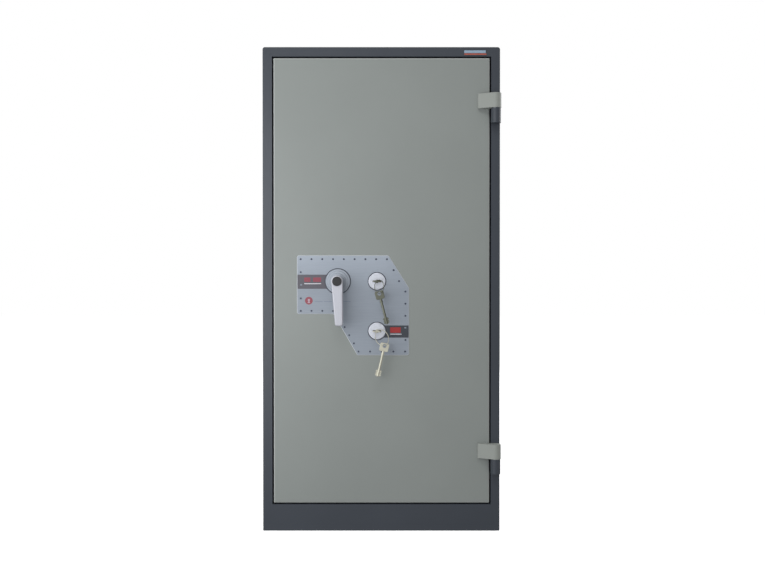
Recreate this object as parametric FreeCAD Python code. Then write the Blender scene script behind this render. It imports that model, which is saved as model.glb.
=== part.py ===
import FreeCAD, Part

import math
import os

# A tall floor-standing safe: a steel carcass with fire filler between an outer shell and an inner
# liner, and one door with fixed hinge-side bolts, a handle-driven boltwork and two key locks.
#
# Lengths are millimetres. +X is right as seen from the front, the front faces -Y and +Z is up.
# The origin is the centre of the underside. Most shapes are placed by x, z and d, where d is the
# depth behind the front plane, so a negative d stands in front of the door.
# At rest the door is shut, the handle hangs down and every bolt is drawn in.

HEIGHT = 1200.0
WIDTH = 588.0
DEPTH = 540.0
SIDE = WIDTH / 2
FRONT = -DEPTH / 2
BACK = DEPTH / 2

# carcass sheets
SHELL = 3.0
REAR_SHEET = 2.5
FRAME_SHEET = 2.5
LINER_SHEET = 2.0
CORNER = 6.0

# rectangles are (x0, x1, z0, z1)
# the opening, from the front: the recess the door leaf sits in, then the narrower throat
RECESS = (-270.7, 272.0, 66.0, 1176.5)
RECESS_DEPTH = 24.0
THROAT = (-246.0, 246.0, 92.0, 1152.0)
THROAT_SIDE = THROAT[1]
THROAT_DEPTH = 95.0
LINER_BACK = 215.5

# the door leaf, and the narrower box behind it that holds the boltwork
LEAF = (-267.2, 268.5, 69.5, 1173.0)
LEAF_SHEET = 3.0
LEAF_BEND = 4.0
LEAF_DEPTH = 19.0
BOX = (-235.0, 242.0, 96.0, 1148.0)
BOX_SHEET = 2.0
BOX_FRONT = LEAF_DEPTH + BOX_SHEET
BOX_BACK = 58.0
PAN_SHEET = 1.5
PAN_BACK = 90.0

SEAL = (-250.0, 250.0, 88.0, 1156.0)
HARD_PLATE = (-165.0, 55.0, 445.0, 690.0)
HARD_PLATE_SHEET = 6.0

# handle and locks
HANDLE_X = -107.8
HANDLE_Z = 620.5
LOCK_X = -10.7
LOCK_HEIGHTS = {"upper": 620.5, "lower": 497.3}
ROSETTE_R = 30.5
ESCUTCHEON_R = 21.2
HUB_R = 14.5
LEVER_LENGTH = 109.0
LEVER_D = (-48.0, -35.0)
SPINDLE_R = 7.0
SQUARE = 4.9

# face plate and what is riveted or glued to it
PLATE_LEFT, PLATE_RIGHT, PLATE_TOP, PLATE_FOOT = -209.0, 69.0, 684.6, 437.0
LOBE_FOOT = 539.3
PLATE_SHEET = 1.5
RIVET_INSET = 9.3
RIVET_PITCH = 26.7
RIVET_R = 1.2
RIVET_HEAD_R = 2.3
LEFT_BAND = (PLATE_LEFT + 1.2, -134.0, 602.0, 637.0)
RIGHT_BAND = (5.0, PLATE_RIGHT - 1.2, 481.0, 511.0)
BADGE = (204.0, 261.0, 1180.0, 1193.0)

# boltwork
THROW = 28.0
BOLT_R = 12.0
BOLT_D = 42.0
BUSH_R = BOLT_R + 3
COLLAR_R = BOLT_R + 7
SLIP = 0.3
ROD_D = (34.0, 40.0)
ROD_HALF = 12.0
CAM_R = 59.0
CAM_D = (27.0, 33.0)
CAM_PIN_R = 4.0
CAM_START = 22.0
SIDE_BOLT_HEIGHTS = (190.0, 430.0, 810.0, 1050.0)
DEAD_BOLT_HEIGHTS = (250.0, 622.0, 994.0)
DEAD_BOLT_R = 9.0
DEAD_BOLT_D = 46.0
GUIDE_HEIGHTS = (250.0, 440.0, 760.0, 1000.0)
BOLT_BAR = (-182.0, -176.0, 150.0, 1090.0)
NUT_ACROSS = 17.0
NUT_LENGTH = 6.0
STUD_R = 6.0
COVER_SCREW_R = 2.4

# lock mechanism, measured from the lock's own axis
LOCK_CASE = (-36.0, 36.0, -40.0, 45.0)
LOCK_CASE_BACK = 52.0
LOCK_SHEET = 2.0
LOCK_THROW = 12.0
LOCK_LEVERS = 7
PIVOT = (22.0, -17.0)
PIVOT_R = 3.0
ROTOR_R = 31.0
ROTOR_NECK_R = 6.5
ROTOR_START = 13.0
LOCK_PIN_R = 2.5

# hinges
HINGE_X = 282.0
HINGE_D = -15.0
KNUCKLE_R = 12.0
HINGE_PIN_R = 6.0
HINGE_BASES = (146.0, 1010.0)
HINGE_TOE = (238.5, -8.0)
KNUCKLE_LENGTH = 36.0

# keys, measured from the middle of the hole in the bow
KEY_HOLE_D = -26.0
KEY_HOLE_R = 4.8
BOW = (-11.0, 11.0, -7.0, 14.0)
BOW_THICK = 2.5
SHANK_R = 3.1
SHANK_END = 77.0
BIT_START = 61.0
BIT_PITCH = 2.0
BIT_SPAN = 7.6
BIT_THICK = 2.6
BIT_CUTS = (1.6, 0.0, 2.4, 0.8, 1.8, 0.4, 1.2)
RING_WIRE = 0.8
SPARE_DROP = 1.2
# per lock: ring radius, turn out of the door's plane in degrees, sideways lean in degrees, reach of
# its middle from the key's hole, rise of its top above that hole, and the lean in degrees that takes
# the spare key's tip to the right
RINGS = {"upper": (16.0, 45.0, 0.0, 8.0, 3.0, 14.4), "lower": (20.0, 35.0, 20.0, 8.0, 2.0, -13.0)}

# inside; the shelves stand a whole number of slots apart
SHELF_HEIGHTS = (357.0, 622.0, 887.0)
SHELF_HALF = 240.0
SHELF_Y = (-160.0, 212.0)
SHELF_LIP = 20.0
SHELF_SHEET = 1.5
UPRIGHTS_Y = (-120.0, 160.0)
UPRIGHT_WIDTH = 24.0
UPRIGHT_SHEET = 3.0
UPRIGHT_SPAN = (100.0, 1144.0)
SLOT_COUNT = 39
SLOT_PITCH = 26.5
FIRST_SLOT = 116.0
SLOT_SIZE = (6.0, 12.0)
ANCHOR_X = 150.0
ANCHOR_R = 7.0


def V(x, y, z):
    return FreeCAD.Vector(x, y, z)


def block(x0, x1, d0, d1, z0, z1):
    """A box from depth d0 to depth d1."""
    return Part.makeBox(x1 - x0, d1 - d0, z1 - z0, V(x0, FRONT + d0, z0))


def disc(x, z, r, d0, d1):
    """A round bar lying along the depth."""
    return Part.makeCylinder(r, d1 - d0, V(x, FRONT + d0, z), V(0, 1, 0))


def bar_x(r, x0, x1, d, z):
    """A round bar lying across the safe."""
    return Part.makeCylinder(r, x1 - x0, V(x0, FRONT + d, z), V(1, 0, 0))


def bar_z(r, x, d, z0, z1):
    """An upright round bar."""
    return Part.makeCylinder(r, z1 - z0, V(x, FRONT + d, z0))


def plate(points, d0, d1):
    """A flat plate from depth d0 to d1 with the outline given as x and z."""
    corners = [V(x, FRONT + d0, z) for x, z in points]
    face = Part.Face(Part.makePolygon(corners + corners[:1]))
    return face.extrude(V(0, d1 - d0, 0))


def joined(*shapes):
    """One solid from several that touch or overlap."""
    return shapes[0].fuse(list(shapes[1:])).removeSplitter()


def grown(rectangle, amount):
    """A rectangle (x0, x1, z0, z1) made larger by the same amount on every side."""
    x0, x1, z0, z1 = rectangle
    return (x0 - amount, x1 + amount, z0 - amount, z1 + amount)


def slab(rectangle, d0, d1):
    """A box on a rectangle (x0, x1, z0, z1)."""
    x0, x1, z0, z1 = rectangle
    return block(x0, x1, d0, d1, z0, z1)


def tray(rectangle, d0, d1, outward):
    """A four-sided band whose inside is the rectangle."""
    return slab(grown(rectangle, outward), d0, d1).cut(slab(rectangle, d0, d1))


def edges_along(shape, axis):
    """The straight edges of a shape that run along one axis."""
    found = []
    for edge in shape.Edges:
        run = edge.Vertexes[-1].Point.sub(edge.Vertexes[0].Point)
        if run.Length > 1e-6 and abs(run.normalize().dot(axis)) > 0.9999:
            found.append(edge)
    return found


def edges_in_plane(shape, d, reach=1e-4):
    """The edges that lie wholly at one depth."""
    y = FRONT + d
    found = []
    for edge in shape.Edges:
        box = edge.BoundBox
        if abs(box.YMin - y) < reach and abs(box.YMax - y) < reach:
            found.append(edge)
    return found


def row(x, z, step_x, step_z, count):
    """Evenly spaced points from a first one."""
    return [(x + step_x * i, z + step_z * i) for i in range(count)]


def keep(name, *shapes):
    """Writes one node's file."""
    shape = shapes[0] if len(shapes) == 1 else Part.makeCompound(list(shapes))
    shape.exportStep(os.path.join("parts", name + ".step"))


def outline(half, z0, z1, corner, y0, y1):
    """An upright slab, seen from the front as a rectangle with its two top corners rounded."""
    slab_shape = Part.makeBox(2 * half, y1 - y0, z1 - z0, V(-half, y0, z0))
    top = [e for e in edges_along(slab_shape, V(0, 1, 0)) if e.BoundBox.ZMin > z1 - 1]
    return slab_shape.makeFillet(corner, top)


def spiral_slot(x, z, start, r0, r1, half, d0, d1):
    """A slot whose middle line moves evenly from radius r0 at the start angle to r1 a quarter turn on.

    Angles are in degrees from +X towards +Z. An even spiral moves its pin in step with the turn.
    """
    growth = (r1 - r0) / (math.pi / 2)
    sides = ([], [])
    ends = []
    steps = 24
    for i in range(steps + 1):
        turn = i * math.pi / 2 / steps
        a = math.radians(start) + turn
        r = r0 + growth * turn
        tangent = V(growth * math.cos(a) - r * math.sin(a), 0, growth * math.sin(a) + r * math.cos(a))
        tangent.normalize()
        normal = V(tangent.z, 0, -tangent.x)
        middle = V(x + r * math.cos(a), FRONT + d0, z + r * math.sin(a))
        sides[0].append(middle.add(normal.multiply(half)))
        sides[1].append(middle.add(V(-tangent.z, 0, tangent.x).multiply(half)))
        if i in (0, steps):
            way = -half if i == 0 else half
            ends.append(middle.add(V(tangent.x * way, 0, tangent.z * way)))
    curves = []
    for side in sides:
        curve = Part.BSplineCurve()
        curve.interpolate(side)
        curves.append(curve.toShape())
    caps = []
    for i, end in zip((0, -1), ends):
        caps.append(Part.Arc(sides[0][i], end, sides[1][i]).toShape())
    wire = Part.Wire(Part.__sortEdges__(curves + caps))
    return Part.Face(wire).extrude(V(0, d1 - d0, 0))


def keyhole(z, d0, d1):
    """The space of a level keyhole: a slot for the bits and a round for the shank."""
    half = BIT_SPAN + 2.4
    slot = block(LOCK_X - half, LOCK_X + half, d0, d1, z - 2.25, z + 2.25)
    return joined(slot, disc(LOCK_X, z, SHANK_R + 0.7, d0, d1))


def nut(x, d, z):
    """A hexagonal nut whose axis runs across the safe."""
    r = NUT_ACROSS / math.sqrt(3)
    corners = []
    for i in range(6):
        a = math.radians(60 * i)
        corners.append(V(x, FRONT + d + r * math.cos(a), z + r * math.sin(a)))
    face = Part.Face(Part.makePolygon(corners + corners[:1]))
    return face.extrude(V(NUT_LENGTH, 0, 0))


os.makedirs("parts", exist_ok=True)

KEYHOLES = [keyhole(z, -5, BOX_FRONT + 3) for z in LOCK_HEIGHTS.values()]
SPINDLE_HOLE = disc(HANDLE_X, HANDLE_Z, 10, -5, BOX_FRONT + 1)

# ---------------------------------------------------------------- bolt sockets in the throat
SOCKET_R = BOLT_R + 1.5
CUP_R = SOCKET_R + 1.5
side_x = THROAT[0]
cups = []
socket_spaces = []
for z in SIDE_BOLT_HEIGHTS:
    cups.append(bar_x(CUP_R, side_x - 30, side_x - FRAME_SHEET, BOLT_D, z))
    socket_spaces.append(bar_x(SOCKET_R, side_x - 28, side_x + 1, BOLT_D, z))
cups.append(bar_z(CUP_R, HANDLE_X, BOLT_D, THROAT[3] + FRAME_SHEET, THROAT[3] + 30))
socket_spaces.append(bar_z(SOCKET_R, HANDLE_X, BOLT_D, THROAT[3] - 1, THROAT[3] + 28))
cups.append(bar_z(CUP_R, HANDLE_X, BOLT_D, THROAT[2] - 30, THROAT[2] - FRAME_SHEET))
socket_spaces.append(bar_z(SOCKET_R, HANDLE_X, BOLT_D, THROAT[2] - 28, THROAT[2] + 1))
# the hinge-side bolts swing out, so their pockets are long slots
for z in DEAD_BOLT_HEIGHTS:
    cups.append(block(THROAT_SIDE + FRAME_SHEET, THROAT_SIDE + 16, 27, 61, z - 13.5, z + 13.5))
    socket_spaces.append(block(THROAT_SIDE - 1, THROAT_SIDE + 14.5, 28.5, 59.5, z - 12, z + 12))
keep("bolt_sockets", *[cup.cut(space) for cup, space in zip(cups, socket_spaces)])

# ---------------------------------------------------------------- carcass
shell_outside = outline(SIDE, SHELL, HEIGHT, CORNER, FRONT + FRAME_SHEET, BACK - REAR_SHEET)
shell_inside = outline(
    SIDE - SHELL, SHELL, HEIGHT - SHELL, CORNER - SHELL, FRONT + FRAME_SHEET, BACK - REAR_SHEET
)
keep("shell_wrap", shell_outside.cut(shell_inside))

rear = outline(SIDE, 0, HEIGHT, CORNER, BACK - REAR_SHEET, BACK)
keep("rear_panel", rear.makeChamfer(0.8, [e for e in rear.Edges if e.BoundBox.YMin > BACK - 0.01]))

anchor_holes = [
    Part.makeCylinder(ANCHOR_R, THROAT[2] + 2, V(x, 0, -1)) for x in (-ANCHOR_X, ANCHOR_X)
]
base = Part.makeBox(WIDTH, DEPTH - FRAME_SHEET - REAR_SHEET, SHELL, V(-SIDE, FRONT + FRAME_SHEET, 0))
keep("base_panel", base.cut(anchor_holes))

sleeve_height = THROAT[2] - LINER_SHEET - SHELL
sleeves = [Part.makeCylinder(ANCHOR_R + 2, sleeve_height, V(x, 0, SHELL)) for x in (-ANCHOR_X, ANCHOR_X)]
keep("anchor_sleeves", *[sleeve.cut(anchor_holes) for sleeve in sleeves])

# the front frame is one folded sheet: face, recess wall, step and throat
face = outline(SIDE, 0, HEIGHT, CORNER, FRONT, FRONT + FRAME_SHEET)
face = face.makeFillet(1.6, edges_in_plane(face, 0))
face = face.cut(slab(RECESS, -1, FRAME_SHEET + 1))
recess_wall = tray(RECESS, 0, RECESS_DEPTH + FRAME_SHEET, FRAME_SHEET)
step = slab(grown(RECESS, FRAME_SHEET), RECESS_DEPTH, RECESS_DEPTH + FRAME_SHEET)
step = step.cut(slab(THROAT, 0, 60))
throat = tray(THROAT, RECESS_DEPTH, THROAT_DEPTH, FRAME_SHEET)
keep("front_frame", joined(face, recess_wall, step, throat).cut(socket_spaces))

liner_outside = slab(grown(THROAT, LINER_SHEET), THROAT_DEPTH, LINER_BACK + LINER_SHEET - FRONT)
liner_inside = slab(THROAT, THROAT_DEPTH, LINER_BACK - FRONT)
keep("inner_liner", liner_outside.cut([liner_inside] + anchor_holes))

fill = Part.makeBox(
    WIDTH - 2 * SHELL, DEPTH - FRAME_SHEET - REAR_SHEET, HEIGHT - 2 * SHELL,
    V(-SIDE + SHELL, FRONT + FRAME_SHEET, SHELL),
)
fill = fill.common(shell_inside)
fill = fill.cut([
    liner_outside,
    slab(grown(RECESS, FRAME_SHEET), 0, RECESS_DEPTH + FRAME_SHEET),
    slab(grown(THROAT, FRAME_SHEET), 0, THROAT_DEPTH),
] + cups + sleeves)
keep("insulation_fill", fill)

# ---------------------------------------------------------------- shelves
uprights = []
clips = []
for side in (-1, 1):
    wall = side * THROAT_SIDE
    inner = side * (THROAT_SIDE - UPRIGHT_SHEET)
    low = min(wall, inner)
    for y in UPRIGHTS_Y:
        foot, top = UPRIGHT_SPAN
        strip = Part.makeBox(UPRIGHT_SHEET, UPRIGHT_WIDTH, top - foot, V(low, y - UPRIGHT_WIDTH / 2, foot))
        slots = []
        for i in range(SLOT_COUNT):
            corner = V(low - 1, y - SLOT_SIZE[0] / 2, FIRST_SLOT + i * SLOT_PITCH)
            slots.append(Part.makeBox(UPRIGHT_SHEET + 2, SLOT_SIZE[0], SLOT_SIZE[1], corner))
        uprights.append(strip.cut(slots))
        for z in SHELF_HEIGHTS:
            under = z - SHELF_LIP
            ledge_x = inner - 11 if side > 0 else inner
            ledge = Part.makeBox(11, 16, 3, V(ledge_x, y - 8, under - 3))
            heel_x = inner - 2 if side > 0 else inner
            heel = Part.makeBox(2, 16, 8, V(heel_x, y - 8, under - 8))
            tongue = Part.makeBox(UPRIGHT_SHEET, 5, 8, V(low, y - 2.5, under - 8))
            clips.append(joined(ledge, heel, tongue))
keep("shelf_uprights", *uprights)
keep("shelf_clips", *clips)

for name, z in zip(("lower", "middle", "upper"), SHELF_HEIGHTS):
    front, back = SHELF_Y
    under = z - SHELF_LIP
    outside = Part.makeBox(2 * SHELF_HALF, back - front, SHELF_LIP, V(-SHELF_HALF, front, under))
    inside = Part.makeBox(
        2 * (SHELF_HALF - SHELF_SHEET), back - front - 2 * SHELF_SHEET, SHELF_LIP - SHELF_SHEET,
        V(-SHELF_HALF + SHELF_SHEET, front + SHELF_SHEET, under),
    )
    shelf = outside.cut(inside)
    keep("shelf_" + name, shelf.makeFillet(1.0, [e for e in shelf.Edges if e.BoundBox.ZMin > z - 0.01]))

# ---------------------------------------------------------------- hinges
knuckles = []
pins = []
washers = []
arms = []
for base_z in HINGE_BASES:
    top_z = base_z + KNUCKLE_LENGTH
    foot = block(HINGE_X - 11, HINGE_X + 11, HINGE_D, 0, base_z, top_z)
    knuckle = joined(bar_z(KNUCKLE_R, HINGE_X, HINGE_D, base_z, top_z), foot)
    knuckles.append(knuckle.cut(bar_z(HINGE_PIN_R, HINGE_X, HINGE_D, base_z + 4, top_z)))
    pins.append(bar_z(HINGE_PIN_R, HINGE_X, HINGE_D, base_z + 4, top_z + 34))
    washer = bar_z(KNUCKLE_R - 1, HINGE_X, HINGE_D, top_z, top_z + 0.9)
    washers.append(washer.cut(bar_z(HINGE_PIN_R, HINGE_X, HINGE_D, top_z, top_z + 0.9)))
    # the arm's face slopes up from the leaf and meets the eye on its tangent
    eye_r = KNUCKLE_R + 1
    toe_x, toe_d = HINGE_TOE
    reach = math.hypot(HINGE_X - toe_x, HINGE_D - toe_d)
    lean = math.atan2(HINGE_D - toe_d, HINGE_X - toe_x) - math.asin(eye_r / reach)
    run = math.sqrt(reach ** 2 - eye_r ** 2)
    touch = (toe_x + run * math.cos(lean), toe_d + run * math.sin(lean))
    side_view = [
        (toe_x, 0), HINGE_TOE, touch, (HINGE_X, HINGE_D), (HINGE_X, HINGE_D + eye_r),
        (LEAF[1], HINGE_D + eye_r), (LEAF[1], 0),
    ]
    corners = [V(x, FRONT + d, top_z + 1) for x, d in side_view]
    web = Part.Face(Part.makePolygon(corners + corners[:1])).extrude(V(0, 0, KNUCKLE_LENGTH))
    arm = joined(web, bar_z(eye_r, HINGE_X, HINGE_D, top_z + 1, top_z + 1 + KNUCKLE_LENGTH))
    toe_edges = [e for e in edges_along(arm, V(0, 0, 1)) if e.BoundBox.XMax < toe_x + 0.01]
    toe_edges = [e for e in toe_edges if e.BoundBox.YMax < FRONT - 1]
    arm = arm.makeFillet(2.0, toe_edges)
    arms.append(arm.cut(bar_z(HINGE_PIN_R + 0.05, HINGE_X, HINGE_D, top_z, top_z + 34.3)))
keep("hinge_knuckles", *knuckles)
keep("hinge_pins", *pins)
keep("hinge_washers", *washers)
keep("hinge_arms", *arms)

badge = slab(BADGE, -0.8, 0)
keep("badge", badge.makeFillet(2.0, edges_along(badge, V(0, 1, 0))))

# ---------------------------------------------------------------- face plate
face_outline = [
    (PLATE_LEFT, PLATE_TOP), (18, PLATE_TOP), (PLATE_RIGHT, 604), (PLATE_RIGHT, PLATE_FOOT),
    (-59.4, PLATE_FOOT), (-118.2, LOBE_FOOT), (PLATE_LEFT, LOBE_FOOT),
]
left_x, right_x = PLATE_LEFT + RIVET_INSET, PLATE_RIGHT - RIVET_INSET
rivet_points = row(left_x, PLATE_TOP - RIVET_INSET, RIVET_PITCH, 0, 9)
rivet_points += row(left_x, 643, 0, -65, 2)
rivet_points += row(left_x, LOBE_FOOT + 8, RIVET_PITCH, 0, 4)
rivet_points += row(-91, 507, 11.5, -20.2, 4)
rivet_points += row(-28, PLATE_FOOT + RIVET_INSET, 29, 0, 4)
rivet_points += row(right_x, 535, 0, 30, 3) + [(right_x, 475)]
rivet_points += row(44, 621, -13.5, 27, 2)
rivet_holes = [disc(x, z, RIVET_R, -PLATE_SHEET, LEAF_SHEET) for x, z in rivet_points]
round_holes = [disc(HANDLE_X, HANDLE_Z, ROSETTE_R + 0.8, -5, 0)]
round_holes += [disc(LOCK_X, z, ESCUTCHEON_R + 0.8, -5, 0) for z in LOCK_HEIGHTS.values()]

face_plate = plate(face_outline, -PLATE_SHEET, 0)
face_plate = face_plate.makeFillet(5.0, edges_along(face_plate, V(0, 1, 0)))
face_plate = face_plate.makeChamfer(1.0, edges_in_plane(face_plate, -PLATE_SHEET))
keep("face_plate", face_plate.cut(round_holes + rivet_holes))

rivets = []
for x, z in rivet_points:
    head = disc(x, z, RIVET_HEAD_R, -PLATE_SHEET - 1, -PLATE_SHEET)
    head = head.makeFillet(0.8, edges_in_plane(head, -PLATE_SHEET - 1))
    rivets.append(joined(head, disc(x, z, RIVET_R, -PLATE_SHEET, LEAF_SHEET)))
keep("face_plate_rivets", *rivets)

band_front = -PLATE_SHEET - 0.5
bands = [slab(band, band_front, -PLATE_SHEET) for band in (LEFT_BAND, RIGHT_BAND)]
keep("label_bands", *[band.cut(round_holes) for band in bands])

rosette_steps = []
for r, front in ((ROSETTE_R, -4), (26, -7), (20, -9)):
    layer = disc(HANDLE_X, HANDLE_Z, r, front, 0)
    rosette_steps.append(layer.makeChamfer(1.0, edges_in_plane(layer, front)))
rosette = joined(*rosette_steps)
keep("handle_rosette", rosette.cut(disc(HANDLE_X, HANDLE_Z, SPINDLE_R + 0.4, -10, 1)))

escutcheons = []
for z, hole in zip(LOCK_HEIGHTS.values(), KEYHOLES):
    cover = disc(LOCK_X, z, ESCUTCHEON_R, -3, 0)
    cover = cover.makeFillet(1.2, edges_in_plane(cover, -3))
    escutcheons.append(cover.cut(hole))
keep("lock_escutcheons", *escutcheons)

# ---------------------------------------------------------------- door leaf
leaf_outside = slab(LEAF, 0, LEAF_DEPTH)
leaf_outside = leaf_outside.makeFillet(LEAF_BEND, edges_in_plane(leaf_outside, 0))
leaf_inside = slab(grown(LEAF, -LEAF_SHEET), LEAF_SHEET, LEAF_DEPTH)
leaf_inside = leaf_inside.makeFillet(LEAF_BEND - LEAF_SHEET, edges_in_plane(leaf_inside, LEAF_SHEET))
skin = leaf_outside.cut([leaf_inside, SPINDLE_HOLE] + KEYHOLES + rivet_holes)
keep("door_skin", skin)

hard = slab(HARD_PLATE, LEAF_SHEET, LEAF_SHEET + HARD_PLATE_SHEET)
keep("hard_plate", hard.cut([SPINDLE_HOLE] + KEYHOLES))
keep("door_front_insulation", leaf_inside.cut([hard, SPINDLE_HOLE] + KEYHOLES))

seal = tray(SEAL, BOX_FRONT, BOX_FRONT + 2.5, 12)
keep("door_seal", seal.makeChamfer(1.0, edges_in_plane(seal, BOX_FRONT + 2.5)))

# ---------------------------------------------------------------- boltwork box
flange = slab(LEAF, LEAF_DEPTH, BOX_FRONT)
walls = slab(BOX, BOX_FRONT, BOX_BACK).cut(slab(grown(BOX, -BOX_SHEET), BOX_FRONT, BOX_BACK))
casing = joined(flange, walls)
bush_seats = [bar_x(BUSH_R, BOX[0] - 1, BOX[0] + 5, BOLT_D, z) for z in SIDE_BOLT_HEIGHTS]
bush_seats.append(bar_z(BUSH_R, HANDLE_X, BOLT_D, BOX[3] - 5, BOX[3] + 1))
bush_seats.append(bar_z(BUSH_R, HANDLE_X, BOLT_D, BOX[2] - 1, BOX[2] + 5))
dead_seats = [bar_x(STUD_R, BOX[1] - 5, BOX[1] + 1, DEAD_BOLT_D, z) for z in DEAD_BOLT_HEIGHTS]
keep("door_casing", casing.cut([SPINDLE_HOLE] + KEYHOLES + bush_seats + dead_seats))

bushes = []
for z in SIDE_BOLT_HEIGHTS:
    tube = bar_x(BUSH_R, BOX[0], BOX[0] + 10, BOLT_D, z)
    collar = bar_x(COLLAR_R, BOX[0] + BOX_SHEET, BOX[0] + 4, BOLT_D, z)
    collar = collar.common(block(BOX[0], 0, BOX_FRONT + 1, BOX_BACK - 1, z - 20, z + 20))
    bore = bar_x(BOLT_R + SLIP, BOX[0], BOX[0] + 10, BOLT_D, z)
    bushes.append(joined(tube, collar).cut(bore))
for wall_z, way in ((BOX[3], -1), (BOX[2], 1)):
    near, far = sorted((wall_z, wall_z + 10 * way))
    tube = bar_z(BUSH_R, HANDLE_X, BOLT_D, near, far)
    low, high = sorted((wall_z + BOX_SHEET * way, wall_z + 4 * way))
    collar = bar_z(COLLAR_R, HANDLE_X, BOLT_D, low, high)
    collar = collar.common(block(HANDLE_X - 20, HANDLE_X + 20, BOX_FRONT + 1, BOX_BACK - 1, low, high))
    bushes.append(joined(tube, collar).cut(bar_z(BOLT_R + SLIP, HANDLE_X, BOLT_D, near, far)))
keep("bolt_bushes", *bushes)

dead_bolts = []
for z in DEAD_BOLT_HEIGHTS:
    nose = bar_x(DEAD_BOLT_R, BOX[1], BOX[1] + 12, DEAD_BOLT_D, z)
    nose = nose.makeChamfer(3.0, [e for e in nose.Edges if e.BoundBox.XMin > BOX[1] + 11.9])
    stem = bar_x(STUD_R, BOX[1] - BOX_SHEET, BOX[1], DEAD_BOLT_D, z)
    dead_bolts.append(joined(nose, stem, nut(BOX[1] - BOX_SHEET - NUT_LENGTH, DEAD_BOLT_D, z)))
keep("dead_bolts", *dead_bolts)

screw_points = [(0, 120), (0, 1124)]
for x in (BOX[0] + 20, BOX[1] - 20):
    screw_points += row(x, 120, 0, 251, 5)
screw_holes = [disc(x, z, COVER_SCREW_R, BOX_BACK, PAN_BACK) for x, z in screw_points]
cover = slab(BOX, BOX_BACK, BOX_BACK + BOX_SHEET)
keep("door_cover_plate", cover.cut(screw_holes))
pan_front = BOX_BACK + BOX_SHEET
pan = slab(BOX, pan_front, PAN_BACK)
pan = pan.makeFillet(1.2, edges_in_plane(pan, PAN_BACK))
pan_space = slab(grown(BOX, -PAN_SHEET), pan_front, PAN_BACK - PAN_SHEET)
keep("door_back_pan", pan.cut([pan_space] + screw_holes))
keep("door_rear_insulation", pan_space.cut(screw_holes))
screws = []
for x, z in screw_points:
    head = disc(x, z, 5, PAN_BACK, PAN_BACK + 2.5)
    head = head.makeFillet(1.2, edges_in_plane(head, PAN_BACK + 2.5))
    cross = [
        block(x - 3, x + 3, PAN_BACK + 1.2, PAN_BACK + 3, z - 0.6, z + 0.6),
        block(x - 0.6, x + 0.6, PAN_BACK + 1.2, PAN_BACK + 3, z - 3, z + 3),
    ]
    screws.append(joined(head, disc(x, z, COVER_SCREW_R, BOX_BACK, PAN_BACK)).cut(cross))
keep("door_cover_screws", *screws)

guides = []
for z in GUIDE_HEIGHTS:
    body = block(HANDLE_X - 22, HANDLE_X + 22, BOX_FRONT, 46, z - 8, z + 8)
    passage = block(
        HANDLE_X - ROD_HALF - SLIP, HANDLE_X + ROD_HALF + SLIP,
        ROD_D[0] - SLIP, ROD_D[1] + SLIP, z - 9, z + 9,
    )
    guides.append(body.cut(passage))
keep("rod_guides", *guides)

bush_flange = disc(HANDLE_X, HANDLE_Z, 14, BOX_FRONT, 24)
bush = joined(disc(HANDLE_X, HANDLE_Z, 10, 0, 24), bush_flange)
keep("spindle_bush", bush.cut(disc(HANDLE_X, HANDLE_Z, SPINDLE_R + 0.08, -1, 25)))

# ---------------------------------------------------------------- handle
lever_front, lever_back = LEVER_D
lever_tip = HANDLE_Z - LEVER_LENGTH
hub = disc(HANDLE_X, HANDLE_Z, HUB_R, lever_front, -9.3)
# the lever's right edge is straight and its left edge tapers, so it leans a little to the right
lever = plate([
    (HANDLE_X - 14, HANDLE_Z), (HANDLE_X + 14.4, HANDLE_Z), (HANDLE_X + 14.8, lever_tip),
    (HANDLE_X - 4.6, lever_tip),
], lever_front, lever_back)
tip_edges = [e for e in edges_along(lever, V(0, 1, 0)) if e.BoundBox.ZMax < lever_tip + 1]
lever = lever.makeFillet(6.0, tip_edges)
handle = joined(hub, lever)
handle = handle.makeFillet(3.0, edges_in_plane(handle, lever_front))
keep("handle_lever", handle.cut(disc(HANDLE_X, HANDLE_Z, SPINDLE_R, -40, 0)))

cap_front = lever_front - 2.5
cap = disc(HANDLE_X, HANDLE_Z, 11.5, cap_front, lever_front)
keep("handle_cap", cap.makeFillet(0.9, edges_in_plane(cap, cap_front)))

spindle = joined(
    disc(HANDLE_X, HANDLE_Z, SPINDLE_R, -40, 25),
    block(HANDLE_X - SQUARE, HANDLE_X + SQUARE, 25, 36, HANDLE_Z - SQUARE, HANDLE_Z + SQUARE),
)
keep("handle_spindle", spindle)

cam = disc(HANDLE_X, HANDLE_Z, CAM_R, CAM_D[0], CAM_D[1])
cam_cuts = []
for start in (90, 180, 270):
    cam_cuts.append(spiral_slot(
        HANDLE_X, HANDLE_Z, start, CAM_START, CAM_START + THROW, CAM_PIN_R + SLIP, CAM_D[0] - 1,
        CAM_D[1] + 1,
    ))
cam_cuts.append(block(
    HANDLE_X - SQUARE, HANDLE_X + SQUARE, 20, 40, HANDLE_Z - SQUARE, HANDLE_Z + SQUARE))
# two notches in the rim take the upper lock's bolt, one for each end of the handle's turn
cam_cuts.append(block(HANDLE_X + 47.5, HANDLE_X + 70, 20, 40, HANDLE_Z + 17, HANDLE_Z + 33))
cam_cuts.append(block(HANDLE_X - 33, HANDLE_X - 17, 20, 40, HANDLE_Z + 47.5, HANDLE_Z + 70))
keep("boltwork_cam", cam.cut(cam_cuts))

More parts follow.
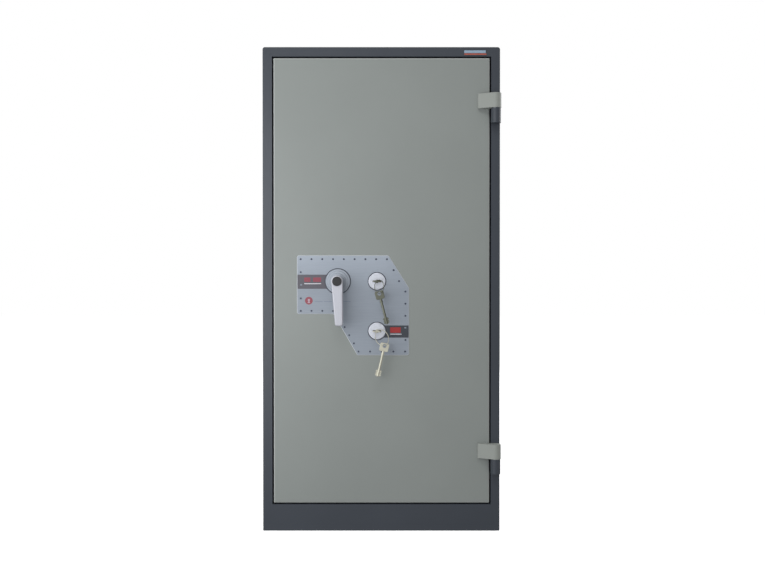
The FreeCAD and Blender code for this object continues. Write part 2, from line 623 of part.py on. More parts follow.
# ---------------------------------------------------------------- sliding bolts
pin_d = (CAM_D[0] - 0.5, ROD_D[0])
bar_x0, bar_x1 = BOLT_BAR[:2]
spine = slab(BOLT_BAR, 30, 52)
spine = spine.cut([bar_x(STUD_R, bar_x0 - 1, bar_x1 + 1, BOLT_D, z) for z in SIDE_BOLT_HEIGHTS])
drive_arm = block(
    bar_x1, HANDLE_X - 14.2, ROD_D[0], ROD_D[1], HANDLE_Z - ROD_HALF, HANDLE_Z + ROD_HALF
)
drive_pin = disc(HANDLE_X - CAM_START, HANDLE_Z, CAM_PIN_R, pin_d[0], pin_d[1])
keep("bolt_bar", joined(spine, drive_arm, drive_pin))

side_bolts = []
for z in SIDE_BOLT_HEIGHTS:
    body = bar_x(BOLT_R, BOX[0] + 0.5, bar_x0, BOLT_D, z)
    body = body.makeChamfer(1.5, [e for e in body.Edges if e.BoundBox.XMax < BOX[0] + 0.6])
    stem = bar_x(STUD_R, bar_x0, bar_x1, BOLT_D, z)
    side_bolts.append(joined(body, stem, nut(bar_x1, BOLT_D, z)))
keep("lock_side_bolts", *side_bolts)


def rod_shape(z0, z1, pin_z):
    """A flat upright rod with the pin that rides in the cam."""
    rod = block(HANDLE_X - ROD_HALF, HANDLE_X + ROD_HALF, ROD_D[0], ROD_D[1], z0, z1)
    return joined(rod, disc(HANDLE_X, pin_z, CAM_PIN_R, pin_d[0], pin_d[1]))


def end_bolt(tip_z, tail_z, rod):
    """An upright round bolt, slotted for the rod that carries it."""
    low, high = sorted((tip_z, tail_z))
    body = bar_z(BOLT_R, HANDLE_X, BOLT_D, low, high)
    level_edges = [e for e in body.Edges if e.BoundBox.ZLength < 0.01]
    end_edges = [e for e in level_edges if abs(e.BoundBox.ZMin - tip_z) < 0.01]
    return body.makeChamfer(1.5, end_edges).cut(rod)


top_rod = rod_shape(HANDLE_Z + 12.5, 1110, HANDLE_Z + CAM_START)
keep("top_rod", top_rod)
keep("top_bolt", end_bolt(BOX[3] - 0.5, 1085, top_rod))

bottom_rod = rod_shape(134, HANDLE_Z - 12.5, HANDLE_Z - CAM_START)
# a side plate with two notches takes the lower lock's bolt, one for each end of the travel
side_plate = block(HANDLE_X, -48, ROD_D[0], ROD_D[1], 505, 570)
lock_line = LOCK_HEIGHTS["lower"] + 25
notches = [block(-60, -40, 30, 45, z - 8, z + 8) for z in (lock_line, lock_line + THROW)]
bottom_rod = joined(bottom_rod, side_plate).cut(notches)
keep("bottom_rod", bottom_rod)
keep("bottom_bolt", end_bolt(BOX[2] + 0.5, 159, bottom_rod))

# ---------------------------------------------------------------- locks
cases = []
covers = []
levers = []
case_x0, case_x1 = LOCK_X + LOCK_CASE[0], LOCK_X + LOCK_CASE[1]
pivot_x = LOCK_X + PIVOT[0]
for name, z in LOCK_HEIGHTS.items():
    case_rect = (case_x0, case_x1, z + LOCK_CASE[2], z + LOCK_CASE[3])
    case = slab(case_rect, BOX_FRONT, LOCK_CASE_BACK)
    cases.append(case.cut([
        slab(grown(case_rect, -LOCK_SHEET), BOX_FRONT + LOCK_SHEET, LOCK_CASE_BACK),
        block(case_x0 - 4, case_x0 + 6, 28.7, 43.3, z + 17.7, z + 32.3),
        keyhole(z, BOX_FRONT - 1, BOX_FRONT + 3),
    ]))
    lid = slab(case_rect, LOCK_CASE_BACK, LOCK_CASE_BACK + LOCK_SHEET)
    lid = lid.cut(disc(LOCK_X, z, ROTOR_NECK_R + 0.06, 51, 55))
    pivot_z = z + PIVOT[1]
    covers.append(joined(lid, disc(pivot_x, pivot_z, PIVOT_R, 29.5, LOCK_CASE_BACK)))
    for i in range(LOCK_LEVERS):
        near = 33 + i * 16 / LOCK_LEVERS
        gate = z - 3 + i * 0.4
        lever = block(LOCK_X - 19.5, LOCK_X + 28, near, near + 2, z - 24, z + 24)
        lever = lever.makeFillet(4.0, edges_along(lever, V(0, 1, 0)))
        levers.append(lever.cut([
            disc(LOCK_X, z, ROTOR_NECK_R + 4, 30, 52), disc(pivot_x, pivot_z, PIVOT_R, 30, 52),
            block(LOCK_X - 15, LOCK_X - 9.9, 30, 52, gate, gate + 4),
        ]))

    rotor = joined(disc(LOCK_X, z, ROTOR_R, 24, 28.5), disc(LOCK_X, z, ROTOR_NECK_R, 24, 53.5))
    rotor = rotor.cut([
        spiral_slot(LOCK_X, z, 180, ROTOR_START, ROTOR_START + LOCK_THROW, LOCK_PIN_R + SLIP, 23, 29),
        disc(LOCK_X, z, SHANK_R + 0.4, 23, 51.4),
        block(LOCK_X - BIT_SPAN - 0.7, LOCK_X + BIT_SPAN + 0.7, 23, 49.6, z - 1.75, z + 1.75),
    ])
    keep(name + "_lock_rotor", rotor)

    head = block(LOCK_X - 36, LOCK_X - 21, 29, 43, z + 18, z + 32)
    tail = block(LOCK_X - 21.5, LOCK_X - 10, 29.5, 32, z - 6, z + 32)
    slot_pin = disc(LOCK_X - ROTOR_START, z, LOCK_PIN_R, 24.3, 30)
    keep(name + "_lock_bolt", joined(head, tail, slot_pin))
keep("lock_cases", *cases)
keep("lock_covers", *covers)
keep("lock_levers", *levers)


# ---------------------------------------------------------------- keys
def key_shape():
    """A double-bitted key along +Y with the middle of its bow's hole at the origin, lying level."""
    bow = Part.makeBox(BOW[1] - BOW[0], BOW[3] - BOW[2], BOW_THICK, V(BOW[0], BOW[2], -BOW_THICK / 2))
    bow = bow.makeFillet(4.0, edges_along(bow, V(0, 0, 1)))
    rims = [e for e in bow.Edges if e.BoundBox.ZLength < 0.01]
    bow = bow.makeFillet(0.6, rims)
    collar = Part.makeCylinder(SHANK_R + 1.1, 3, V(0, BOW[3] + 4.5, 0), V(0, 1, 0))
    shank = Part.makeCylinder(SHANK_R, SHANK_END - BOW[3] + 1, V(0, BOW[3] - 1, 0), V(0, 1, 0))
    shank = shank.makeChamfer(0.8, [e for e in shank.Edges if e.BoundBox.YMin > SHANK_END - 0.1])
    length = BIT_PITCH * len(BIT_CUTS)
    bits = Part.makeBox(2 * BIT_SPAN, length, BIT_THICK, V(-BIT_SPAN, BIT_START, -BIT_THICK / 2))
    cuts = []
    for i, depth in enumerate(BIT_CUTS):
        if depth:
            for low in (-BIT_SPAN, BIT_SPAN - depth):
                corner = V(low, BIT_START + BIT_PITCH * i, -2)
                cuts.append(Part.makeBox(depth, BIT_PITCH, 4, corner))
    bits = bits.cut(cuts)
    hole = Part.makeCylinder(KEY_HOLE_R, 4, V(0, 0, -2))
    return joined(bow, collar, shank, bits).cut(hole)


for name, (ring_r, ring_turn, ring_tilt, reach, rise, spare_tilt) in RINGS.items():
    hole = V(LOCK_X, FRONT + KEY_HOLE_D, LOCK_HEIGHTS[name])
    key = key_shape()
    key.translate(hole)
    keep(name + "_key", key)

    # the ring hangs through the bow's hole in a plane turned out from the door
    tilt = math.radians(ring_tilt)
    up = V(-math.sin(tilt), 0, math.cos(tilt))
    turn = math.radians(ring_turn)
    across = V(math.cos(turn), -math.sin(turn), 0)
    across = across.sub(up * across.dot(up)).normalize()
    centre = hole + across * reach + up * (rise - ring_r)
    axis = across.cross(up)
    keep(name + "_key_ring", Part.makeTorus(ring_r, RING_WIRE, centre, axis))

    # the spare key hangs from the bottom of the ring with its flat towards the front
    hang = centre - up * ring_r
    spare = key_shape()
    spare.rotate(V(0, 0, 0), V(1, 0, 0), -90)
    spare.translate(V(0, 0, -SPARE_DROP))
    spare.rotate(V(0, 0, 0), V(0, 1, 0), -spare_tilt)
    spare.translate(hang)
    keep(name + "_spare_key", spare)
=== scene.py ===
import math

import bmesh
import bpy
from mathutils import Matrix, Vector


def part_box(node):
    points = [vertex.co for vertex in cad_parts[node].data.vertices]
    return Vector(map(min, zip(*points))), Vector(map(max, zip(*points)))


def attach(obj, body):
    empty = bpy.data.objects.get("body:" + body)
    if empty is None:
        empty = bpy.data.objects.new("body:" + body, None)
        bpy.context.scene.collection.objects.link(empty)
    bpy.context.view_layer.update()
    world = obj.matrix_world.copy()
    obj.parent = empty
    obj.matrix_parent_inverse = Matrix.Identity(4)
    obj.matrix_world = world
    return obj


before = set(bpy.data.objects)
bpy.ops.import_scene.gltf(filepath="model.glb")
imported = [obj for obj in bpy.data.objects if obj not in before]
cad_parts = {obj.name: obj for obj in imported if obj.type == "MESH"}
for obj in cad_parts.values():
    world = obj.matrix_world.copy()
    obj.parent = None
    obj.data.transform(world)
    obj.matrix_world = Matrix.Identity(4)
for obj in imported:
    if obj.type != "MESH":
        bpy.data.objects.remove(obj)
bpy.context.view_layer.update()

# Everything is in metres. A depth is measured forwards (towards -Y) from the door's front face.
MM = 0.001
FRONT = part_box("door_skin")[0][1]
PLATE_LOW, PLATE_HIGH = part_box("face_plate")
PLATE_FACE = FRONT - PLATE_LOW[1]
BAND_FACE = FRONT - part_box("label_bands")[0][1]
BADGE_LOW, BADGE_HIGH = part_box("badge")
BADGE_FACE = FRONT - BADGE_LOW[1]


def middle(node):
    """The x and z of the middle of a CAD node, seen from the front."""
    low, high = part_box(node)
    return (low[0] + high[0]) / 2, (low[2] + high[2]) / 2


def half_width(node):
    low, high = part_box(node)
    return (high[0] - low[0]) / 2


HANDLE = middle("handle_cap")
LOCKS = [middle("upper_lock_rotor"), middle("lower_lock_rotor")]


# ---------------------------------------------------------------- shader parts
def srgb(r, g, b):
    """A screen colour as the linear colour a shader takes."""
    def one(c):
        c /= 255
        return c / 12.92 if c <= 0.04045 else ((c + 0.055) / 1.055) ** 2.4
    return one(r), one(g), one(b), 1.0


def shade_of(colour, factor):
    return tuple(c * factor for c in colour[:3]) + (1.0,)


def shader(name, roughness, metallic=0.0, **more):
    """A material with one principled shader, its node tree, and object coordinates in metres."""
    material = bpy.data.materials.new(name)
    material.use_nodes = True
    tree = material.node_tree
    principled = tree.nodes["Principled BSDF"]
    principled.inputs["Roughness"].default_value = roughness
    principled.inputs["Metallic"].default_value = metallic
    for socket, value in more.items():
        principled.inputs[socket.replace("_", " ")].default_value = value
    place = tree.nodes.new("ShaderNodeTexCoord").outputs["Object"]
    return material, tree, principled, place


def stretched(tree, place, scale):
    """The same coordinates scaled by a different amount along each axis."""
    mapping = tree.nodes.new("ShaderNodeMapping")
    mapping.inputs["Scale"].default_value = scale
    tree.links.new(place, mapping.inputs["Vector"])
    return mapping.outputs["Vector"]


def noise(tree, place, scale, detail=3.0, rough=0.5):
    node = tree.nodes.new("ShaderNodeTexNoise")
    node.inputs["Scale"].default_value = scale
    node.inputs["Detail"].default_value = detail
    node.inputs["Roughness"].default_value = rough
    tree.links.new(place, node.inputs["Vector"])
    return node.outputs["Fac"]


def ramp(tree, value, low, high, low_colour, high_colour):
    """Goes from one colour to the other as a 0..1 value crosses low..high."""
    node = tree.nodes.new("ShaderNodeValToRGB")
    node.color_ramp.elements[0].position = low
    node.color_ramp.elements[0].color = low_colour
    node.color_ramp.elements[1].position = high
    node.color_ramp.elements[1].color = high_colour
    tree.links.new(value, node.inputs["Fac"])
    return node.outputs["Color"]


def varied(tree, value, colour, dark, light, low=0.3, high=0.7):
    """One colour whose brightness goes from the dark factor to the light one with a 0..1 value."""
    return ramp(tree, value, low, high, shade_of(colour, dark), shade_of(colour, light))


def mapped(tree, value, to_min, to_max, from_min=0.0, from_max=1.0):
    """Maps a value evenly from one range to another."""
    node = tree.nodes.new("ShaderNodeMapRange")
    node.inputs["From Min"].default_value = from_min
    node.inputs["From Max"].default_value = from_max
    node.inputs["To Min"].default_value = to_min
    node.inputs["To Max"].default_value = to_max
    tree.links.new(value, node.inputs["Value"])
    return node.outputs["Result"]


def mixed(tree, factor, first, second):
    """Blends two colours. The factor and the second colour are each a node output or a fixed value."""
    mix = tree.nodes.new("ShaderNodeMix")
    mix.data_type = "RGBA"
    for socket, value in (("Factor", factor), ("A", first), ("B", second)):
        if isinstance(value, bpy.types.NodeSocket):
            tree.links.new(value, mix.inputs[socket])
        else:
            mix.inputs[socket].default_value = value
    return mix.outputs["Result"]


def along(tree, vector, axis):
    """One coordinate of a vector, by its letter."""
    parts = tree.nodes.new("ShaderNodeSeparateXYZ")
    tree.links.new(vector, parts.inputs["Vector"])
    return parts.outputs[axis]


def bump(tree, principled, value, strength, distance):
    """Adds one bump on top of those that the shader already has."""
    node = tree.nodes.new("ShaderNodeBump")
    node.inputs["Strength"].default_value = strength
    node.inputs["Distance"].default_value = distance
    tree.links.new(value, node.inputs["Height"])
    previous = principled.inputs["Normal"]
    if previous.is_linked:
        tree.links.new(previous.links[0].from_socket, node.inputs["Normal"])
    tree.links.new(node.outputs["Normal"], previous)


def painted_slope_highlight(tree, colour, edge, flat, sloped):
    """Paints a lighter colour as a highlight where a surface slopes away from the front, and keeps the given
    one elsewhere.

    flat and sloped are the surface normal's y where the change starts and ends.
    """
    normal = tree.nodes["Texture Coordinate"].outputs["Normal"]
    return mixed(tree, mapped(tree, along(tree, normal, "Y"), 0.0, 1.0, flat, sloped), colour, edge)


def painted_height_light(tree, place, colour, low, high, low_factor, high_factor):
    """Painted light: a colour that is multiplied by a factor that changes evenly with height."""
    scaled = tree.nodes.new("ShaderNodeVectorMath")
    scaled.operation = "SCALE"
    tree.links.new(colour, scaled.inputs[0])
    tree.links.new(mapped(tree, along(tree, place, "Z"), low_factor, high_factor, low, high),
                   scaled.inputs["Scale"])
    return scaled.outputs["Vector"]


# ---------------------------------------------------------------- materials
BEND = (-0.99, -0.85)      # the normal's y over a rounded sheet fold, where the door's painted highlight goes
BEVEL = (-0.9, -0.8)       # the same over a 45 degree bevel, where the plate's bare metal and painted highlight go
# bare metal, painted near white as a highlight on the plate's bevels
BARE_METAL_HIGHLIGHT = srgb(214, 218, 224)


def paint(name, colour, roughness, peel, depth, cloud, bend_highlight=None):
    """Sprayed enamel: orange peel, faint clouding, tiny dust nibs, and, if given, a lighter colour on its
    bends as a painted highlight.
    """
    material, tree, principled, place = shader(name, roughness, Specular_IOR_Level=0.45)
    colour_out = varied(tree, noise(tree, place, 3.2, 4.0, 0.55), colour, 1 - cloud, 1 + cloud)
    # a lighter colour on the bends: a painted highlight
    if bend_highlight:
        colour_out = painted_slope_highlight(tree, colour_out, bend_highlight, *BEND)
    tree.links.new(colour_out, principled.inputs["Base Color"])
    smears = noise(tree, place, 24.0, 4.0)
    tree.links.new(mapped(tree, smears, roughness - 0.06, roughness + 0.07), principled.inputs["Roughness"])
    bump(tree, principled, noise(tree, place, peel, 2.0, 0.5), 0.35, depth)
    bump(tree, principled, noise(tree, place, 95.0, 1.0), 0.12, depth * 2)
    return material


def brushed(name, colour, roughness, metallic, scale, cloud=0.06, height_light=None):
    """Brushed metal whose fine lines run along the axis with the smallest scale.

    Given a height range and two factors, its colour is scaled with height as painted light, and its bevels
    are bare metal painted near white, partly as a painted highlight.
    """
    material, tree, principled, place = shader(name, roughness, metallic)
    lines = noise(tree, stretched(tree, place, scale), 1.0, 3.0, 0.6)
    clouds = noise(tree, place, 7.0, 3.0)
    colour_out = mixed(tree, 0.5, varied(tree, lines, colour, 0.9, 1.08),
                       varied(tree, clouds, colour, 1 - cloud, 1 + cloud))
    # painted light: the colour is scaled with height, and the bevels are bare metal painted near white as a
    # highlight
    if height_light:
        colour_out = painted_slope_highlight(tree, painted_height_light(tree, place, colour_out, *height_light), BARE_METAL_HIGHLIGHT, *BEVEL)
    tree.links.new(colour_out, principled.inputs["Base Color"])
    tree.links.new(mapped(tree, lines, roughness - 0.08, roughness + 0.1), principled.inputs["Roughness"])
    bump(tree, principled, lines, 0.18, 0.03 * MM)
    return material


def polished(name, colour, roughness, metallic=0.95):
    """Plated metal with faint handling marks."""
    material, tree, principled, place = shader(name, roughness, metallic)
    marks = noise(tree, place, 160.0, 4.0, 0.65)
    tree.links.new(varied(tree, marks, colour, 0.92, 1.03, 0.3, 0.75), principled.inputs["Base Color"])
    tree.links.new(mapped(tree, marks, roughness - 0.05, roughness + 0.12), principled.inputs["Roughness"])
    bump(tree, principled, marks, 0.08, 0.03 * MM)
    return material


def moulded(name, colour, roughness, grain=900.0):
    """Moulded plastic or rubber with a fine grain."""
    material, tree, principled, place = shader(name, roughness)
    fine = noise(tree, place, grain, 2.0)
    tree.links.new(varied(tree, noise(tree, place, 30.0), colour, 0.9, 1.1), principled.inputs["Base Color"])
    tree.links.new(mapped(tree, fine, roughness - 0.05, roughness + 0.08), principled.inputs["Roughness"])
    bump(tree, principled, fine, 0.3, 0.05 * MM)
    return material


def printed(name, colour, roughness=0.4, right=None):
    """Screen-printed ink, slightly uneven, with a soft sheen.

    With a second colour, it changes to that one right of the middle of the face plate; the two are a lit and
    a shaded copy of one ink, painted light and shade.
    """
    material, tree, principled, place = shader(name, roughness)
    uneven = noise(tree, place, 420.0, 3.0)
    colour_out = varied(tree, uneven, colour, 0.9, 1.08, 0.25, 0.75)
    # painted light and shade: the ink is lighter on the left and darker on the right
    if right:
        side = tree.nodes.new("ShaderNodeMath")
        side.operation = "GREATER_THAN"
        side.inputs[1].default_value = middle("face_plate")[0]
        tree.links.new(along(tree, place, "X"), side.inputs[0])
        shaded_right_out = varied(tree, uneven, right, 0.9, 1.08, 0.25, 0.75)
        colour_out = mixed(tree, side.outputs["Value"], colour_out, shaded_right_out)
    tree.links.new(colour_out, principled.inputs["Base Color"])
    bump(tree, principled, uneven, 0.1, 0.02 * MM)
    return material


def plaster(name, colour):
    """The pale mineral fill: chalky, with small pits."""
    material, tree, principled, place = shader(name, 0.9)
    pits = noise(tree, place, 130.0, 6.0, 0.7)
    tree.links.new(varied(tree, pits, colour, 0.8, 1.0), principled.inputs["Base Color"])
    bump(tree, principled, pits, 0.6, 0.8 * MM)
    return material


# painted light: the plate is darker below and lighter in its top 90 mm
PLATE_HEIGHT_LIGHT = (PLATE_HIGH[2] - 90 * MM, PLATE_HIGH[2], 0.9, 1.12)
LOOKS = {
    "carcass": paint("carcass_enamel", srgb(63, 68, 76), 0.36, 520.0, 0.08 * MM, 0.06),
    "interior": paint("interior_enamel", srgb(138, 142, 142), 0.5, 480.0, 0.08 * MM, 0.04),
    # the door's bends are painted lighter: a painted highlight
    "door": paint("door_enamel", srgb(141, 146, 143), 0.46, 330.0, 0.14 * MM, 0.035, srgb(186, 190, 187)),
    # the hinge arms are the door's enamel painted lighter: a painted highlight
    "lit_arm": paint("arm_enamel", srgb(149, 153, 148), 0.46, 330.0, 0.14 * MM, 0.035),
    "plate": brushed(
        "plate_film", srgb(153, 161, 172), 0.5, 0.12, (22.0, 900.0, 900.0), 0.09, PLATE_HEIGHT_LIGHT,
    ),
    "rosette": brushed("rosette_metal", srgb(160, 167, 177), 0.38, 0.25, (260.0, 900.0, 260.0)),
    # the lock chrome is partly diffuse and near white: its plating colour with a painted reflection of bright
    # surroundings
    "chrome": polished("lock_chrome", srgb(216, 219, 228), 0.34, 0.7),
    "lever": brushed("lever_satin", srgb(188, 189, 197), 0.38, 0.3, (900.0, 900.0, 40.0), 0.04),
    "cap": moulded("cap_plastic", srgb(26, 26, 29), 0.35),
    "rivet": polished("rivet_metal", srgb(74, 78, 92), 0.35, 0.7),
    # the band ink is lighter on the left and darker on the right: painted light and shade
    "band": printed("band_dark", srgb(84, 81, 90), 0.36, srgb(61, 65, 73)),
    "zinc": brushed("zinc_steel", srgb(160, 163, 166), 0.38, 0.85, (60.0, 60.0, 700.0)),
    "bolt": polished("bolt_steel", srgb(200, 201, 204), 0.2),
    "hard": brushed("hard_steel", srgb(86, 86, 90), 0.5, 0.8, (300.0, 300.0, 300.0)),
    "filler": plaster("fire_filler", srgb(206, 203, 193)),
    "seal": moulded("seal_rubber", srgb(30, 30, 31), 0.6, 400.0),
    "nylon": moulded("nylon", srgb(222, 221, 212), 0.4, 700.0),
    "brass": brushed("brass", srgb(190, 160, 96), 0.32, 0.9, (400.0, 400.0, 60.0)),
    "upper_key": polished("upper_key_nickel", srgb(116, 118, 106), 0.32, 0.8),
    "lower_key": polished("lower_key_nickel", srgb(202, 199, 182), 0.38, 0.5),
}

NODES = {
    "carcass": ("shell_wrap", "rear_panel", "base_panel", "front_frame", "hinge_knuckles", "badge"),
    "interior": ("inner_liner", "shelf_upper", "shelf_middle", "shelf_lower", "door_back_pan", "door_casing"),
    "door": ("door_skin",),
    "lit_arm": ("hinge_arms",),
    "plate": ("face_plate",),
    "rosette": ("handle_rosette",),
    "chrome": ("lock_escutcheons",),
    "lever": ("handle_lever",),
    "cap": ("handle_cap",),
    "rivet": ("face_plate_rivets",),
    "band": ("label_bands",),
    "zinc": (
        "anchor_sleeves", "shelf_uprights", "shelf_clips", "bolt_sockets", "hinge_washers",
        "door_cover_plate", "door_cover_screws", "lock_cases", "lock_covers", "boltwork_cam",
        "bolt_bar", "top_rod", "bottom_rod", "handle_spindle",
    ),
    "bolt": ("hinge_pins", "dead_bolts", "lock_side_bolts", "top_bolt", "bottom_bolt"),
    "hard": ("hard_plate",),
    "filler": ("insulation_fill", "door_front_insulation", "door_rear_insulation"),
    "seal": ("door_seal",),
    "nylon": ("rod_guides", "bolt_bushes"),
    "brass": (
        "spindle_bush", "lock_levers", "upper_lock_rotor", "lower_lock_rotor", "upper_lock_bolt",
        "lower_lock_bolt",
    ),
    "upper_key": ("upper_key", "upper_key_ring", "upper_spare_key"),
    "lower_key": ("lower_key", "lower_key_ring", "lower_spare_key"),
}


def dress(piece, material):
    if piece.material_slots:
        for holder in piece.material_slots:
            holder.material = material
    else:
        piece.data.materials.append(material)


for look, nodes in NODES.items():
    for node in nodes:
        dress(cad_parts[node], LOOKS[look])


# ---------------------------------------------------------------- thin printed and moulded pieces
def finish_piece(name, shape, material, body):
    mesh = bpy.data.meshes.new(name)
    bmesh.ops.recalc_face_normals(shape, faces=shape.faces)
    shape.to_mesh(mesh)
    shape.free()
    piece = bpy.data.objects.new(name, mesh)
    bpy.context.scene.collection.objects.link(piece)
    mesh.materials.append(material)
    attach(piece, body)
    return piece


def raised(name, outline, base, height, material, body="door"):
    """A thin prism on an outline of x and z, standing on a face at depth base, with softened front edges."""
    shape = bmesh.new()
    bottom = [shape.verts.new((x, FRONT - base, z)) for x, z in outline]
    face = shape.faces.new(bottom)
    lifted = bmesh.ops.extrude_face_region(shape, geom=[face])
    top = [v for v in lifted["geom"] if isinstance(v, bmesh.types.BMVert)]
    bmesh.ops.translate(shape, verts=top, vec=(0, -height, 0))
    front = [e for e in shape.edges if all(v in top for v in e.verts)]
    bmesh.ops.bevel(shape, geom=front, offset=height * 0.4, segments=2, affect="EDGES")
    return finish_piece(name, shape, material, body)


def arc(centre, radius, start, end, count):
    """Points at even angles on an arc in x and z, from start to end in degrees, both included."""
    points = []
    for i in range(count):
        a = math.radians(start + (end - start) * i / (count - 1))
        points.append((centre[0] + radius * math.cos(a), centre[1] + radius * math.sin(a)))
    return points


def rounded_box(x0, x1, z0, z1, r):
    """The outline of a rectangle with rounded corners."""
    corners = (x1 - r, z1 - r), (x0 + r, z1 - r), (x0 + r, z0 + r), (x1 - r, z0 + r)
    return [point for i, corner in enumerate(corners) for point in arc(corner, r, 90 * i, 90 * i + 90, 6)]


def turned(name, centre, profile, material, steps=96):
    """A ring turned about the depth axis from a closed profile of radius and height above the door."""
    shape = bmesh.new()
    rings = []
    for i in range(steps):
        a = 2 * math.pi * i / steps
        rings.append([
            shape.verts.new((centre[0] + r * math.cos(a), FRONT - h, centre[1] + r * math.sin(a)))
            for r, h in profile
        ])
    for i, here in enumerate(rings):
        there = rings[(i + 1) % steps]
        for j in range(len(profile)):
            k = (j + 1) % len(profile)
            shape.faces.new((here[j], here[k], there[k], there[j]))
    piece = finish_piece(name, shape, material, "door")
    for polygon in piece.data.polygons:
        polygon.use_smooth = True


def shade_ring(name, centre, radius, width, height, material):
    """A dark rounded ring standing in for the shade in the gap round a turned fitting, with its foot in the
    plate: painted shade.
    """
    profile = []
    for i in range(9):
        a = math.pi * i / 8
        profile.append((radius + width / 2 + width / 2 * math.cos(a), PLATE_FACE + height * math.sin(a)))
    foot = PLATE_FACE - 0.8 * MM
    profile += [(radius, foot), (radius + width, foot)]
    turned(name, centre, profile, material)


# dark rings in the gaps round the rosette and lock covers: painted shade
SHADE_RING_DARK = moulded("shade_ring_dark", srgb(58, 62, 74), 0.35)
shade_ring("rosette_shade_ring", HANDLE, half_width("handle_rosette"), 1.9 * MM, 1.6 * MM, SHADE_RING_DARK)
# both lock covers are in one node, one above the other, so its width is one cover's
for name, lock in zip(("upper", "lower"), LOCKS):
    shade_ring(name + "_lock_shade_ring", lock, half_width("lock_escutcheons"), 1.7 * MM, 1.4 * MM, SHADE_RING_DARK)

INK_DEPTH = 0.12 * MM
RED = printed("ink_red", srgb(139, 58, 74), 0.38)
BRIGHT_RED = printed("ink_bright_red", srgb(162, 46, 46), 0.38)
WHITE = printed("ink_white", srgb(222, 222, 228))
GREY_INK = printed("ink_grey", srgb(128, 136, 150), 0.45)
DARK_RED = printed("ink_dark_red", srgb(146, 66, 80))


def mark(name, origin, across, up, ink, base=BAND_FACE, r=0.6, body="door"):
    """A printed block. Its extents across and up are in millimetres from an origin of x and z."""
    x0, x1 = (origin[0] + distance * MM for distance in across)
    z0, z1 = (origin[1] + distance * MM for distance in up)
    return raised(name, rounded_box(x0, x1, z0, z1, r * MM), base, INK_DEPTH, ink, body)


# plain blocks, a line under them and a small square on each label band, from the plate's edge
LEFT_LABEL = (PLATE_LOW[0], HANDLE[1] - 0.5 * MM)
for i, block in enumerate(((17.7, 33.5), (40.0, 60.0))):
    mark(f"left_mark_block_{i}", LEFT_LABEL, block, (-1, 10), RED, r=1.5)
mark("left_mark_line", LEFT_LABEL, (18, 60), (-6.4, -4.6), WHITE)
mark("left_mark_square", LEFT_LABEL, (8, 13), (-10, -6.5), GREY_INK)

RIGHT_LABEL = (PLATE_HIGH[0], LOCKS[1][1] - 1.3 * MM)
mark("right_mark_block", RIGHT_LABEL, (-47, -21), (-3, 10.5), BRIGHT_RED)
mark("right_mark_line", RIGHT_LABEL, (-47, -19), (-7.4, -5.6), WHITE)
mark("right_mark_square", RIGHT_LABEL, (-12, -7), (7.5, 11), GREY_INK)

# a plain red disc with a keyhole, and a plain thin broken line beside it
DISC = (PLATE_LOW[0] + 29.5 * MM, HANDLE[1] - 48.0 * MM)
raised("plate_disc", arc(DISC, 9.6 * MM, 0, 352.5, 48), PLATE_FACE, INK_DEPTH, DARK_RED)
keyhole = arc((DISC[0], DISC[1] + 1.6 * MM), 3 * MM, -60, 240, 25)
keyhole += [(DISC[0] - 3.4 * MM, DISC[1] - 6 * MM), (DISC[0] + 3.4 * MM, DISC[1] - 6 * MM)]
PALE = printed("ink_pale", srgb(176, 150, 162))
raised("plate_disc_keyhole", keyhole, PLATE_FACE + INK_DEPTH, INK_DEPTH, PALE)
for i in range(4):
    start = 14.5 + 23.0 * i
    mark(f"plate_line_{i}", DISC, (start, start + 20), (-3.2, -1.4), GREY_INK, PLATE_FACE)

# the frame's badge: a plain pale bar over a thin orange-red stripe
BADGE_CORNER = (BADGE_LOW[0], BADGE_LOW[2])
badge_width = (BADGE_HIGH[0] - BADGE_LOW[0]) / MM
badge_height = (BADGE_HIGH[2] - BADGE_LOW[2]) / MM
PALE_INK = printed("ink_pale_blue", srgb(150, 172, 192))
ORANGE_INK = printed("ink_orange_red", srgb(190, 96, 78))
mark("badge_bar", BADGE_CORNER, (1, badge_width - 3), (5, badge_height - 1.6), PALE_INK,
     BADGE_FACE, 0.8, "carcass")
mark("badge_stripe", BADGE_CORNER, (1, badge_width - 1), (0.6, 3.6), ORANGE_INK,
     BADGE_FACE, 0.8, "carcass")


# ---------------------------------------------------------------- studio
STUDIO_LEVEL = 0.36        # how bright the surroundings are to the object; they are 1.0 to the camera
FLOOR_LEVEL = 1.05         # the floor's own light and the surroundings' together
FLOOR_HALF = 12


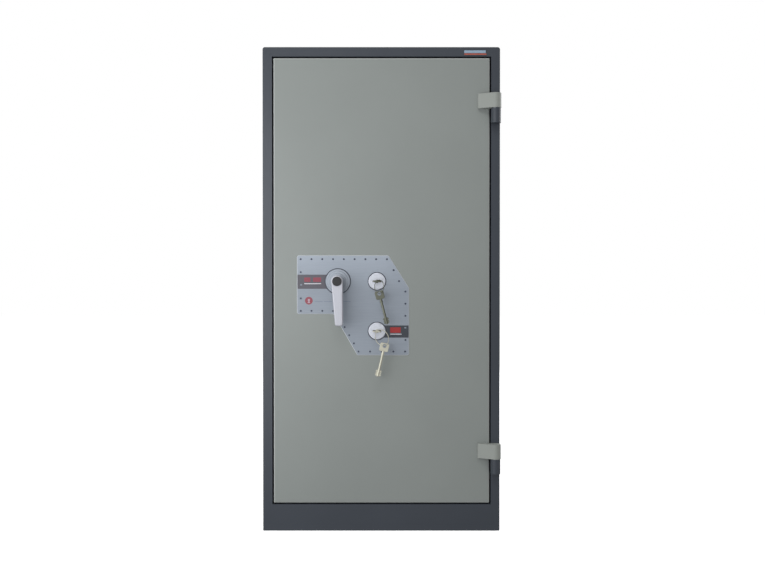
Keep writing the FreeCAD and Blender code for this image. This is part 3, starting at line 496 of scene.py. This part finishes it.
def stage_floor():
    """A pale floor that is lit to near white and throws no light back at the object."""
    corners = [(-FLOOR_HALF, -FLOOR_HALF, 0), (FLOOR_HALF, -FLOOR_HALF, 0),
               (FLOOR_HALF, FLOOR_HALF, 0), (-FLOOR_HALF, FLOOR_HALF, 0)]
    mesh = bpy.data.meshes.new("floor")
    mesh.from_pydata(corners, [], [(0, 1, 2, 3)])
    floor = bpy.data.objects.new("floor", mesh)
    bpy.context.scene.collection.objects.link(floor)
    material, tree, principled, place = shader("floor_pale", 0.85, Specular_IOR_Level=0.1)
    patches = ramp(tree, noise(tree, place, 0.6), 0.3, 0.7, (0.93, 0.93, 0.93, 1), (0.95, 0.95, 0.95, 1))
    tree.links.new(patches, principled.inputs["Base Color"])
    principled.inputs["Emission Color"].default_value = (1, 1, 1, 1)
    principled.inputs["Emission Strength"].default_value = FLOOR_LEVEL - STUDIO_LEVEL
    mesh.materials.append(material)
    floor.visible_diffuse = False
    floor.visible_glossy = False


def area_light(name, place, target, size, power, colour=(1, 1, 1)):
    """A soft rectangular light that looks at a target, and that the camera doesn't see."""
    light = bpy.data.lights.new(name, "AREA")
    light.shape = "RECTANGLE"
    light.size, light.size_y = size
    light.energy = power
    light.color = colour
    lamp = bpy.data.objects.new(name, light)
    lamp.location = place
    lamp.visible_camera = False
    lamp.rotation_euler = (Vector(target) - Vector(place)).to_track_quat("-Z", "Y").to_euler()
    bpy.context.scene.collection.objects.link(lamp)


def surroundings():
    """White to the camera and dimmer to the object, as with a lit backdrop behind it."""
    world = bpy.data.worlds.new("studio")
    bpy.context.scene.world = world
    world.use_nodes = True
    sky = world.node_tree
    seen = sky.nodes.new("ShaderNodeLightPath").outputs["Is Camera Ray"]
    background = sky.nodes["Background"]
    background.inputs["Color"].default_value = (1.0, 1.0, 1.0, 1.0)
    sky.links.new(mapped(sky, seen, STUDIO_LEVEL, 1.0), background.inputs["Strength"])


def add_camera():
    """A camera 2.2 m in front of the door, at mid height and tipped slightly down."""
    camera_data = bpy.data.cameras.new("camera")
    camera_data.sensor_width = 36.0
    camera_data.lens = 41.75
    camera = bpy.data.objects.new("camera", camera_data)
    camera.location = (0.003, FRONT - 2.2, 0.6294)
    camera.rotation_euler = (math.radians(90 - 0.6), 0, 0)
    bpy.context.scene.collection.objects.link(camera)
    bpy.context.scene.camera = camera


stage_floor()
area_light("key_left", (-0.85, -1.35, 0.7), (-0.24, -0.27, 0.64), (1.4, 1.1), 13.5, (0.96, 0.98, 1.0))
area_light("top_soft", (-0.3, -1.9, 2.5), (0, -0.27, 0.8), (1.6, 0.7), 12)
for side in (-1, 1):
    area_light(f"side_soft_{side + 1}", (side * 3.0, 0.9, 1.9), (0, 0.1, 0.6), (1.6, 2.0), 45)
area_light("rear_soft", (0.6, 3.2, 1.8), (0, 0.2, 0.6), (2.2, 2.0), 45)
surroundings()
bpy.context.scene.view_settings.view_transform = "Standard"
add_camera()
